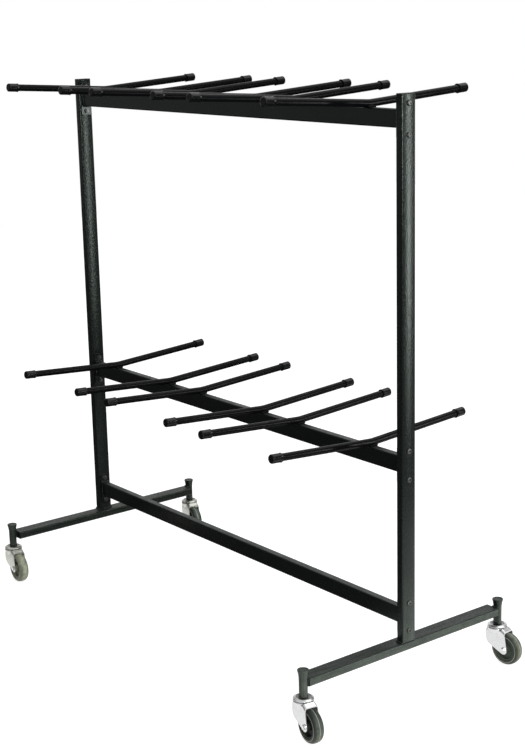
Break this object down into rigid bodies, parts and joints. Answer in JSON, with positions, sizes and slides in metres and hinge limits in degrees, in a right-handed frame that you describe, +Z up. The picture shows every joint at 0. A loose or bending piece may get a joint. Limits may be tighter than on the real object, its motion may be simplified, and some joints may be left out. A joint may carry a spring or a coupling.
{
  "type": "chair trolley",
  "caption": "Rolling steel trolley with end posts on wide feet, long beams, two tiers of raked hanger bars for folding chairs, and swivel casters.",
  "frame": {"origin": "on the floor, midway between the two end posts", "axes": "+X along the trolley towards its front end, +Y across it towards its left side, +Z up"},
  "size_m": [1.7557, 0.8508, 1.7679],
  "materials": {
    "hammertone": "dark grey hammertone enamel with silver speckle",
    "black_paint": "satin black enamel",
    "gloss_black_paint": "gloss black enamel",
    "cap_rubber": "soft matte black",
    "black_plastic": "fine matte black",
    "fasteners": "dulled zinc plating",
    "zinc_steel": "bright zinc plating",
    "race_steel": "greased bare steel",
    "wheel_plastic": "moulded black",
    "tyre": "dark grey soft tread"
  },
  "bodies": {
    "frame": {"upright_front": "hammertone", "foot_front": "hammertone", "upright_rear": "hammertone", "foot_rear": "hammertone", "socket_front_right": "hammertone", "socket_front_left": "hammertone", "socket_rear_right": "hammertone", "socket_rear_left": "hammertone", "top_beam": "black_paint", "middle_beam": "black_paint", "bottom_stretcher": "black_paint", "beam_end_plates": "black_paint", "upright_plugs": "black_plastic", "frame_bolts": "fasteners", "frame_nuts": "fasteners", "upper_hanger_1": "gloss_black_paint", "upper_hanger_2": "gloss_black_paint", "upper_hanger_3": "gloss_black_paint", "upper_hanger_4": "gloss_black_paint", "upper_hanger_5": "gloss_black_paint", "upper_hanger_6": "gloss_black_paint", "lower_hanger_1": "gloss_black_paint", "lower_hanger_2": "gloss_black_paint", "lower_hanger_3": "gloss_black_paint", "lower_hanger_4": "gloss_black_paint", "lower_hanger_5": "gloss_black_paint", "lower_hanger_6": "gloss_black_paint", "hanger_end_caps": "cap_rubber", "caster_stem_front_right": "zinc_steel", "raceway_cap_front_right": "zinc_steel", "caster_stem_front_left": "zinc_steel", "raceway_cap_front_left": "zinc_steel", "caster_stem_rear_right": "zinc_steel", "raceway_cap_rear_right": "zinc_steel", "caster_stem_rear_left": "zinc_steel", "raceway_cap_rear_left": "zinc_steel"},
    "caster_front_right": {"fork_front_right": "zinc_steel", "ball_race_front_right": "race_steel", "axle_bolt_front_right": "zinc_steel", "axle_sleeve_front_right": "zinc_steel"},
    "wheel_front_right": {"wheel_core_front_right": "wheel_plastic", "tyre_front_right": "tyre"},
    "caster_front_left": {"fork_front_left": "zinc_steel", "ball_race_front_left": "race_steel", "axle_bolt_front_left": "zinc_steel", "axle_sleeve_front_left": "zinc_steel"},
    "wheel_front_left": {"wheel_core_front_left": "wheel_plastic", "tyre_front_left": "tyre"},
    "caster_rear_right": {"fork_rear_right": "zinc_steel", "ball_race_rear_right": "race_steel", "axle_bolt_rear_right": "zinc_steel", "axle_sleeve_rear_right": "zinc_steel"},
    "wheel_rear_right": {"wheel_core_rear_right": "wheel_plastic", "tyre_rear_right": "tyre"},
    "caster_rear_left": {"fork_rear_left": "zinc_steel", "ball_race_rear_left": "race_steel", "axle_bolt_rear_left": "zinc_steel", "axle_sleeve_rear_left": "zinc_steel"},
    "wheel_rear_left": {"wheel_core_rear_left": "wheel_plastic", "tyre_rear_left": "tyre"}
  },
  "joints": [
    {"name": "swivel_front_right", "type": "hinge", "parent": "frame", "child": "caster_front_right", "pos_m": [0.818, -0.391, 0.1155], "axis": [0, 0, 1], "continuous": true},
    {"name": "roll_front_right", "type": "hinge", "parent": "caster_front_right", "child": "wheel_front_right", "pos_m": [0.85553, -0.39694, 0.0508], "axis": [0.1564, 0.9877, 0], "continuous": true},
    {"name": "swivel_front_left", "type": "hinge", "parent": "frame", "child": "caster_front_left", "pos_m": [0.818, 0.391, 0.1155], "axis": [0, 0, 1], "continuous": true},
    {"name": "roll_front_left", "type": "hinge", "parent": "caster_front_left", "child": "wheel_front_left", "pos_m": [0.85576, 0.3953, 0.0508], "axis": [-0.1132, 0.9936, 0], "continuous": true},
    {"name": "swivel_rear_right", "type": "hinge", "parent": "frame", "child": "caster_rear_right", "pos_m": [-0.818, -0.391, 0.1155], "axis": [0, 0, 1], "continuous": true},
    {"name": "roll_rear_right", "type": "hinge", "parent": "caster_rear_right", "child": "wheel_rear_right", "pos_m": [-0.78012, -0.39398, 0.0508], "axis": [0.0785, 0.9969, 0], "continuous": true},
    {"name": "swivel_rear_left", "type": "hinge", "parent": "frame", "child": "caster_rear_left", "pos_m": [-0.818, 0.391, 0.1155], "axis": [0, 0, 1], "continuous": true},
    {"name": "roll_rear_left", "type": "hinge", "parent": "caster_rear_left", "child": "wheel_rear_left", "pos_m": [-0.78097, 0.38245, 0.0508], "axis": [0.225, 0.9744, 0], "continuous": true}
  ]
}
